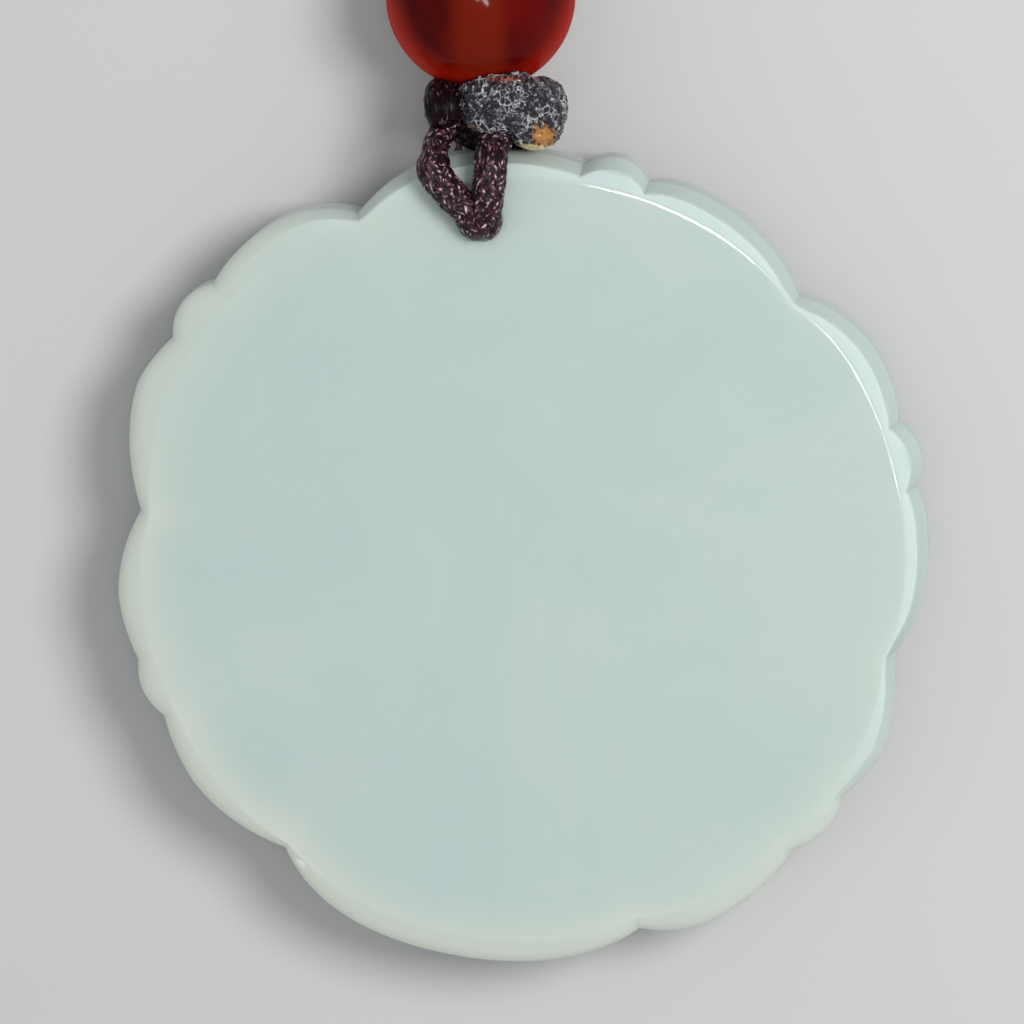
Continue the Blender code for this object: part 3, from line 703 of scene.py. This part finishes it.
points = np.stack((x + disc_back.x, y + disc_back.y, z), axis=1)
jade_mesh.vertices.foreach_set("co", points.ravel())

hole_turn = math.radians(HOLE_ANGLE)
hole_reach = JADE_RADIUS * float(rim_share(np.array(HOLE_ANGLE))) - HOLE_FROM_RIM
hole = disc_back + Vector((hole_reach * math.cos(hole_turn), hole_reach * math.sin(hole_turn), 0.0))
bore = HOLE_DIAMETER / 2
drill_profile = [
    (0.0, JADE_THICKNESS + 3 * HOLE_CHAMFER),
    (bore + 4 * HOLE_CHAMFER, JADE_THICKNESS + 3 * HOLE_CHAMFER),
    (bore, JADE_THICKNESS - HOLE_CHAMFER),
    (bore, RIM_LIFT + 3 * HOLE_CHAMFER),
    (bore + 3 * HOLE_CHAMFER, RIM_LIFT),
    (bore + 3 * HOLE_CHAMFER, -HOLE_CHAMFER),
    (0.0, -HOLE_CHAMFER),
]
drill_mesh = turned_mesh("drill", drill_profile, (hole.x, hole.y, 0.0), UP, DRILL_STEPS)


def drilled(mesh, cutter_mesh):
    """The mesh with the cutter's shape taken out of it."""
    blank = bpy.data.objects.new("blank", mesh)
    cutter = bpy.data.objects.new("cutter", cutter_mesh)
    bpy.context.scene.collection.objects.link(blank)
    bpy.context.scene.collection.objects.link(cutter)
    cut = blank.modifiers.new("cut", "BOOLEAN")
    cut.operation = "DIFFERENCE"
    cut.solver = "EXACT"
    cut.object = cutter
    result = applied(blank)
    bpy.data.objects.remove(blank)
    bpy.data.objects.remove(cutter)
    return result


jade_mesh = drilled(jade_mesh, drill_mesh)
shade_smooth(jade_mesh, 32.0)

# A warm glow painted near the rim, strongest on the lower left, for light coming through the thin stone; on
# the thick side, a pale sheen painted on the facet and painted shade on the bank; and the small chip beside
# the lower left cut, with a bright glint painted in it.
CHIP_ANGLE = math.radians(234.3)
CHIP_REACH = 0.02055
CHIP_DEPTH = 0.00012
CHIP_LONG = 0.00042
CHIP_WIDE = 0.00022
CHIP_FADES = (0.0045, 0.0058)
BANK_STARTS = (0.16, 0.24)
BANK_ENDS = (2.5, 3.5)
points = points_of(jade_mesh)
across = points[:, :2] - np.array(disc_back[:2])
angle = np.degrees(np.arctan2(across[:, 1], across[:, 0]))
near_rim = np.hypot(across[:, 0], across[:, 1]) / (JADE_RADIUS * rim_share(angle))
# Painted light: the warm glow of light coming through the stone near the rim, strongest on the lower left.
thin = eased(near_rim, 0.84, 1.02) * (0.55 - 0.45 * np.cos(np.radians(angle - THICK_SIDE)))
add_value(jade_mesh, "thin", thin)
below = (JADE_THICKNESS - points[:, 2]) / SHOULDER_DROP
on_thick_side = eased(np.cos(np.radians(angle - THICK_SIDE)), 0.0, 0.6)
# Painted light: on the thick side, a pale sheen on the facet and shade on the steep bank below it.
add_value(jade_mesh, "facet", eased(below, 0.0, 0.03) * (1.0 - eased(below, *BANK_STARTS)) * on_thick_side)
add_value(jade_mesh, "bank", eased(below, *BANK_STARTS) * (1.0 - eased(below, *BANK_ENDS)) * on_thick_side)
chip_outward = np.array((math.cos(CHIP_ANGLE), math.sin(CHIP_ANGLE)))
chip_along = (across @ np.array((-chip_outward[1], chip_outward[0]))) / CHIP_LONG
chip_across = (across @ chip_outward - CHIP_REACH) / CHIP_WIDE
chip = np.exp(-(chip_along**2) - chip_across**2) * eased(points[:, 2], *CHIP_FADES)
# The chip's pale colour is a painted glint; the dent itself is shaped below.
add_value(jade_mesh, "chip", eased(chip, 0.35, 0.75))
points[:, :2] -= CHIP_DEPTH * chip[:, None] * chip_outward
jade_mesh.vertices.foreach_set("co", points.ravel())

jade_material, tree, shader = new_material("polished_jade", (0.50, 0.60, 0.56), 0.09)
shader.inputs["Specular IOR Level"].default_value = 0.0
shader.inputs["Coat Weight"].default_value = 0.45
shader.inputs["Coat IOR"].default_value = 1.61
shader.inputs["Subsurface Weight"].default_value = 0.6
shader.inputs["Subsurface Radius"].default_value = (0.9, 1.0, 0.8)
shader.inputs["Subsurface Scale"].default_value = 0.0020
where = tree.nodes.new("ShaderNodeTexCoord").outputs["Object"]
clouds = noise_node(tree, where, 85.0, 4.0, 0.55, 0.8)
stone = ramp(tree, clouds.outputs["Fac"], (0.34, (0.535, 0.630, 0.606)), (0.52, (0.545, 0.645, 0.602)),
             (0.68, (0.568, 0.652, 0.625)))
# Painted light: the warm rim glow laid over the stone's own clouded tone.
tone = laid_over(tree, mesh_value(tree, "thin"), stone, (0.690, 0.712, 0.630))
flecks = noise_node(tree, where, 420.0, 3.0)
pale = remapped(tree, flecks.outputs["Fac"], 0.68, 0.80, 0.0, 0.2)
tone = laid_over(tree, pale, tone, (0.70, 0.77, 0.74))
# Painted light: sheen on the facet, shade on the bank and a glint in the chip.
for name, colour in (
    ("facet", (0.615, 0.715, 0.690)),
    ("bank", (0.480, 0.560, 0.525)),
    ("chip", (0.86, 0.90, 0.87)),
):
    tone = laid_over(tree, mesh_value(tree, name), tone, colour)
tree.links.new(tone, shader.inputs["Base Color"])
polish = noise_node(tree, where, 900.0, 2.0)
gloss = remapped(tree, polish.outputs["Fac"], 0.0, 1.0, 0.03, 0.08)
tree.links.new(gloss, shader.inputs["Coat Roughness"])
jade = add_object("jade_pendant", jade_mesh, jade_material)
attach(jade, "root")
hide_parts("jade_disc")

# The cord loop: dark maroon braided nylon, doubled through the hole. Both legs lie over the back in a V,
# go down the hole squeezed side by side, and come up round the rim into the knot.
TOUCH_GAP = 0.00015
HOLE_SQUEEZE = 0.85
LEG_SPACING = 0.00055
LEG_BEND = 0.0010
FRONT_LEG_SPACING = 0.0019
LEFT_LEG_START = (-0.0024, -0.0016)
RIGHT_LEG_START = (0.0006, -0.0019)
KNOT_SQUEEZE = 0.80
LEG_POINTS_APART = 0.00006
SEEN_CORD_SIDES = 48
bead_low, bead_high = (Vector(corner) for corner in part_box("agate_bead"))
bead_middle = (bead_low + bead_high) / 2
knot_middle = bead_middle + Vector((0.00085, -0.00629, 0.0))


def leg_route(side):
    """One leg of the loop, -1 for the left and 1 for the right, from the knot and back to it."""
    over = JADE_THICKNESS + CORD_DIAMETER / 2 + TOUCH_GAP
    under = CORD_DIAMETER / 2 + TOUCH_GAP / 2
    rim_y = hole.y + HOLE_FROM_RIM
    aside, along = LEFT_LEG_START if side < 0 else RIGHT_LEG_START
    start = hole.x + aside
    in_hole = hole.x + side * LEG_SPACING / 2
    lean = (in_hole - start) / 2
    below = hole.x + side * FRONT_LEG_SPACING / 2
    return [
        (start + 0.70e-3, knot_middle.y - 0.1e-3, knot_middle.z + 1.2e-3),
        (start + 0.35e-3, knot_middle.y - 0.85e-3, knot_middle.z + 1.7e-3),
        (start + 0.05e-3, knot_middle.y + along, knot_middle.z + 2.3e-3),
        (start, rim_y - 0.25e-3, over - 0.2e-3),
        (start, rim_y - 0.9e-3, over),
        (in_hole - lean, hole.y + LEG_BEND * 1.3, over),
        (in_hole - lean * 0.3, hole.y + LEG_BEND * 0.55, over - LEG_BEND * 0.15),
        (in_hole, hole.y - LEG_BEND * 0.25, over - LEG_BEND * 0.7),
        (in_hole, hole.y - LEG_BEND * 0.15, JADE_THICKNESS - LEG_BEND * 0.5),
        (in_hole, hole.y, JADE_THICKNESS * 0.55),
        (in_hole, hole.y, RIM_LIFT + LEG_BEND * 0.3),
        (in_hole, hole.y + LEG_BEND * 0.35, under + LEG_BEND * 0.35),
        (in_hole, hole.y + LEG_BEND * 1.3, under),
        (below, rim_y - 0.7e-3, under),
        (below, rim_y + 0.4e-3, under + 0.1e-3),
        (below, rim_y + 1.0e-3, under + 0.4e-3),
        (below, rim_y + 1.35e-3, under + 0.8e-3),
        (below * 0.7, rim_y + 1.9e-3, under + 2.0e-3),
    ]


def leg_squeeze(route, side):
    """A leg's share of the cord's radius: less in the hole, and where the left one enters the knot."""
    inside = 1.0 - eased(route[:, 2], JADE_THICKNESS, JADE_THICKNESS + CORD_DIAMETER * 0.3)
    inside *= eased(route[:, 2], RIM_LIFT - CORD_DIAMETER * 0.3, RIM_LIFT)
    inside *= 1.0 - eased(route[:, 1] - hole.y, LEG_BEND * 0.5, LEG_BEND)
    drawn = eased(route[:, 1], hole.y + HOLE_FROM_RIM - 0.6e-3, hole.y + HOLE_FROM_RIM + 0.3e-3)
    drawn *= eased(route[:, 2], knot_middle.z, JADE_THICKNESS) * (side < 0)
    return (1.0 - (1.0 - HOLE_SQUEEZE) * inside) * (1.0 - (1.0 - KNOT_SQUEEZE) * drawn)


loop_thread = thread_material("loop_braid")
for name, side in (("loop_left", -1), ("loop_right", 1)):
    route = smooth_route(leg_route(side), LEG_POINTS_APART)
    leg_mesh = braided_cord(name, route, SEEN_CORD_SIDES, leg_squeeze(route, side))
    leg = add_object(name, leg_mesh, loop_thread)
    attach(leg, "root")
    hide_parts("bail_loop")

# The knot that the bead sits on: turns of the same braid, drawn tight, with the cord's cut ends melted
# over them into one hard, crackled lump, which is scorched amber where the flame was.
KNOT_WIDTH = 0.0076
KNOT_BLEND = 3.0
KNOT_BLOBS = (
    ((0.08, 0.22, 0.56), (0.62, 0.50, 0.46)),
    ((0.04, 0.06, -0.32), (0.52, 0.40, 0.36)),
    ((0.64, 0.10, 0.15), (0.38, 0.43, 0.66)),
    ((0.58, -0.17, 0.50), (0.37, 0.30, 0.33)),
)
MELT_RELIEF = 0.00015
MELT_CELL = 0.00048
FIELD_START = 1.6
FIELD_STEP = 0.015
FIELD_STEPS = 80
FIELD_HALVINGS = 8
LUMP_LEVEL = 7
BEAD_SEAT_GAP = 0.00004
WINDING_POINTS = 20
WINDING_POINTS_APART = 0.00007


def blob_field(places):
    """The blended blobs' field at these places, in shares of half the knot's width."""
    field = np.zeros(len(places))
    for middle, half in KNOT_BLOBS:
        away = (((places - np.array(middle)) / np.array(half)) ** 2).sum(axis=1)
        field += np.exp(KNOT_BLEND * (1.0 - away))
    return field


work = bmesh.new()
bmesh.ops.create_icosphere(work, subdivisions=LUMP_LEVEL, radius=1.0)
lump_mesh = mesh_from(work, "melted_lump")
directions = points_of(lump_mesh)
directions /= np.linalg.norm(directions, axis=1)[:, None]
outside = np.full(len(directions), FIELD_START)
for _ in range(FIELD_STEPS):
    clear = blob_field(directions * outside[:, None]) < 1.0
    outside = np.where(clear, outside - FIELD_STEP, outside)
inside = outside - FIELD_STEP
for _ in range(FIELD_HALVINGS):
    halfway = (inside + outside) / 2
    clear = blob_field(directions * halfway[:, None]) < 1.0
    outside = np.where(clear, halfway, outside)
    inside = np.where(clear, inside, halfway)
reach = outside * KNOT_WIDTH / 2
relief = np.array([
    sum(share * noise.noise(Vector(d) * scale) for share, scale in ((1.0, 4.0), (0.8, 9.0), (0.7, 19.0)))
    for d in directions.tolist()
])
cells = np.array([
    noise.voronoi(Vector(d) * (KNOT_WIDTH / 2 / MELT_CELL))[0][:2] for d in directions.tolist()
])
seams = 1.0 - eased(cells[:, 1] - cells[:, 0], 0.0, 0.30)
reach += MELT_RELIEF * (0.8 * relief + 0.5 * seams - 0.5)
to_bead = np.array(bead_middle - knot_middle)
seat_radius = (bead_high.x - bead_low.x) / 2 + BEAD_SEAT_GAP
along = directions @ to_bead
gap = along**2 - (to_bead @ to_bead - seat_radius**2)
touching = np.where((gap > 0) & (along > 0), along - np.sqrt(np.maximum(gap, 0.0)), 1.0)
reach = np.minimum(reach, touching)
places = directions * reach[:, None]
lump_mesh.vertices.foreach_set("co", (places + np.array(knot_middle)).ravel())
shade_smooth(lump_mesh)

# Where the melt is scorched amber, cream and red: soft spots, at places measured from the knot's middle
Spot = namedtuple("Spot", "name x y reach_x reach_y strength")
SPOTS = (
    Spot("amber", 0.0027, -0.0010, 0.0008, 0.0010, 1.0),
    Spot("amber", 0.0016, -0.0017, 0.0008, 0.0004, 0.8),
    Spot("amber", -0.0012, -0.0007, 0.0006, 0.0005, 0.75),
    Spot("cream", 0.0019, -0.0019, 0.0012, 0.0005, 1.5),
    Spot("cream", 0.0024, -0.0001, 0.0006, 0.0006, 0.45),
    Spot("cream", -0.0018, -0.0002, 0.0004, 0.0012, 0.6),
    Spot("red", 0.0008, 0.0021, 0.0019, 0.0003, 0.65),
    Spot("red", -0.0008, -0.0014, 0.0004, 0.0003, 0.9),
)
for name in ("amber", "cream", "red"):
    strength = np.zeros(len(places))
    for spot in SPOTS:
        if spot.name == name:
            right = (places[:, 0] - spot.x) / spot.reach_x
            up = (places[:, 1] - spot.y) / spot.reach_y
            strength = np.maximum(strength, spot.strength * np.exp(-(right**2) - up**2))
    strength *= eased(places[:, 2], -0.002, 0.001)
    add_value(lump_mesh, name, strength)

melt_material, tree, shader = new_material("melted_nylon", (0.02, 0.02, 0.022), 0.16)
shader.inputs["Coat Weight"].default_value = 0.45
shader.inputs["Coat Roughness"].default_value = 0.05
shader.inputs["Specular IOR Level"].default_value = 0.25
where = tree.nodes.new("ShaderNodeTexCoord").outputs["Object"]
warp = noise_node(tree, where, 1500.0, 3.0)
bend = tree.nodes.new("ShaderNodeVectorMath")
bend.operation = "MULTIPLY_ADD"
bend.inputs[1].default_value = (0.0006, 0.0006, 0.0006)
tree.links.new(warp.outputs["Color"], bend.inputs[0])
tree.links.new(where, bend.inputs[2])
crackle = tree.nodes.new("ShaderNodeTexVoronoi")
crackle.feature = "DISTANCE_TO_EDGE"
crackle.inputs["Scale"].default_value = 3000.0
tree.links.new(bend.outputs[0], crackle.inputs["Vector"])
cracks = crackle.outputs["Distance"]
# A crackle web on the melt, whose pale edges are painted glints of light; between them a grey haze and
# black cells.
crackle_with_painted_glints = ramp(tree, cracks, (0.0, (0.78, 0.78, 0.80)), (0.06, (0.17, 0.17, 0.185)),
           (0.20, (0.016, 0.012, 0.018)))
patch = noise_node(tree, where, 1300.0, 5.0, 0.65)
patch_cover = remapped(tree, patch.outputs["Fac"], 0.60, 0.46)
tone = laid_over(tree, patch_cover, crackle_with_painted_glints, (0.016, 0.011, 0.017))
speckle = calculated(tree, "MULTIPLY_ADD", cracks, -1.2, patch.outputs["Fac"])
speckle = calculated(tree, "SUBTRACT", speckle, 0.85)
for name, colour in (
    ("amber", (0.46, 0.20, 0.045)),
    ("cream", (0.82, 0.63, 0.30)),
    ("red", (0.36, 0.07, 0.03)),
):
    broken = calculated(tree, "MULTIPLY_ADD", mesh_value(tree, name), 1.3, speckle)
    tone = laid_over(tree, remapped(tree, broken, 0.1, 0.6), tone, colour)
tree.links.new(tone, shader.inputs["Base Color"])
add_bump(tree, shader, cracks, 0.9, 0.00010, invert=True)
lump = add_object("melted_lump", lump_mesh, melt_material)
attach(lump, "root")
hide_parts("sealed_knot")


def wound_route(middle, across, deep, shift, turns, start_turns=0.0):
    """An oval winding about a middle, with its two half sizes and its shift as vectors."""
    points = []
    for step in range(round(turns * WINDING_POINTS) + 1):
        angle = math.tau * (start_turns + step / WINDING_POINTS)
        drift = shift * (step / (turns * WINDING_POINTS) - 0.5)
        points.append(middle + across * math.cos(angle) + deep * math.sin(angle) + drift)
    return points


windings = {
    "knot_left_turn": wound_route(
        knot_middle + Vector((-0.00262, 0.00052, 0.00030)), Vector((0.0, 0.00058, 0.0)),
        Vector((0.0, 0.0, 0.0022)), Vector((0.0005, 0.0, 0.0)), 1.3),
    "knot_lower_turns": wound_route(
        knot_middle + Vector((-0.0002, -0.00040, -0.00125)), Vector((0.00195, 0.0, 0.0)),
        Vector((0.0, 0.00090, 0.0)), Vector((0.0, 0.0, 0.00255)), 2.3, 0.1),
}
# A darker copy of the braid, with fainter glints, for the knot's turns.
dark_thread = thread_material("scorched_braid", (0.010, 0.004, 0.006), (0.22, 0.14, 0.16), shine=0.1)
for name, points in windings.items():
    route = smooth_route(points, WINDING_POINTS_APART)
    winding = add_object(name, braided_cord(name, route, SEEN_CORD_SIDES), dark_thread)
    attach(winding, "root")
    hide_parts("sealed_knot")

# The bead: a 10 mm round of banded red agate, polished and bored through. A paler band is painted beside
# its bore, for light seen through the stone there, and a brighter red glow is painted on its rim towards
# the knot, for light coming through it.
BEAD_STEPS = 72
BEAD_TURN_STEPS = 128
BORE_RADIUS = 0.001075
BORE_CHAMFER = 0.0002
bead_radius = (bead_high.x - bead_low.x) / 2
mouth = math.asin((BORE_RADIUS + BORE_CHAMFER) / bead_radius)
inside = bead_radius * math.cos(mouth) - BORE_CHAMFER
profile = [(BORE_RADIUS, inside)]
for step in range(BEAD_STEPS + 1):
    turned = mouth + (math.pi - 2 * mouth) * step / BEAD_STEPS
    profile.append((bead_radius * math.sin(turned), bead_radius * math.cos(turned)))
profile += [(BORE_RADIUS, -inside), (BORE_RADIUS, 0.0)]
bore_axis = Vector((0.0, 1.0, 0.0))
bead_mesh = turned_mesh("agate_bead_round", profile, bead_middle, bore_axis, BEAD_TURN_STEPS, closed=True)
shade_smooth(bead_mesh, 35.0)
away = (points_of(bead_mesh) - np.array(bead_middle)) / bead_radius
# Painted light: a brighter red glow on the half of the rim towards the knot, and a paler band beside the
# bore, for light through the stone.
skin = eased(np.hypot(away[:, 0] - 0.07, away[:, 1] - 0.05), 0.74, 1.06)
skin *= 1.0 - eased(away[:, 1], -0.25, 0.35)
band = 1.0 - eased(np.abs(away[:, 0] - 0.05), 0.16, 0.38)
add_value(bead_mesh, "skin", skin)
add_value(bead_mesh, "band", band)

agate_material, tree, shader = new_material("red_agate", (0.045, 0.0008, 0.0006), 0.06)
shader.inputs["Specular IOR Level"].default_value = 0.0
shader.inputs["Coat Weight"].default_value = 0.18
shader.inputs["Coat Roughness"].default_value = 0.11
shader.inputs["Coat IOR"].default_value = 1.54
shader.inputs["Subsurface Weight"].default_value = 0.25
shader.inputs["Subsurface Radius"].default_value = (1.0, 0.12, 0.05)
shader.inputs["Subsurface Scale"].default_value = 0.0015
where = tree.nodes.new("ShaderNodeTexCoord").outputs["Object"]
drift = noise_node(tree, where, 300.0, 4.0)
tone = ramp(tree, drift.outputs["Fac"], (0.35, (0.060, 0.0006, 0.0004)), (0.70, (0.130, 0.0020, 0.0008)))
# Painted light: the bore's paler band and the rim's red glow over the dark heart.
for name, colour, most in (("band", (0.175, 0.010, 0.002), 0.9), ("skin", (0.46, 0.010, 0.002), 1.0)):
    tone = laid_over(tree, calculated(tree, "MULTIPLY", mesh_value(tree, name), most), tone, colour)
tree.links.new(tone, shader.inputs["Base Color"])
bead = add_object("agate_bead_round", bead_mesh, agate_material)
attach(bead, "root")
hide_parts("agate_bead")

# The cord inside the bead: a straight stretch of the same dark braid, which fills the bore. It runs from
# the knot below the bead to the knot above it.
start, end = (Vector(corner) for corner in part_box("bead_cord"))
axis = (start + end) / 2
INNER_POINTS_APART = 0.00012
INNER_SIDES = 32
route = smooth_route([Vector((axis.x, y, axis.z)) for y in (start.y, axis.y, end.y)], INNER_POINTS_APART)
inner_mesh = braided_cord("bead_cord_braid", route, INNER_SIDES)
inner_cord = add_object("bead_cord_braid", inner_mesh, thread_material("inner_braid"))
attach(inner_cord, "root")
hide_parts("bead_cord")

# The top knot, which keeps the bead in place: the same braid, wound twice round itself and drawn tight. The
# two ends of the neck cord leave it.
TOP_POINTS_APART = 0.00008
top_low, top_high = (Vector(corner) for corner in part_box("top_knot"))
top_middle = (top_low + top_high) / 2
half = (top_high - top_low) / 2 - Vector((CORD_DIAMETER, CORD_DIAMETER, CORD_DIAMETER)) / 2
knot_thread = thread_material("knot_braid")
turns = wound_route(top_middle, Vector((half.x, 0.0, 0.0)), Vector((0.0, 0.0, half.z)),
                    Vector((0.0, 2 * half.y, 0.0)), 2.25, 0.4)
core = [top_middle - Vector((0.0, half.y + CORD_DIAMETER / 2, 0.0)), top_middle,
        top_middle + Vector((0.0, half.y, 0.0))]
for name, points in (("top_knot_turns", turns), ("top_knot_core", core)):
    route = smooth_route(points, TOP_POINTS_APART)
    tied = add_object(name, braided_cord(name, route, SEEN_CORD_SIDES), knot_thread)
    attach(tied, "root")
    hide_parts("top_knot")
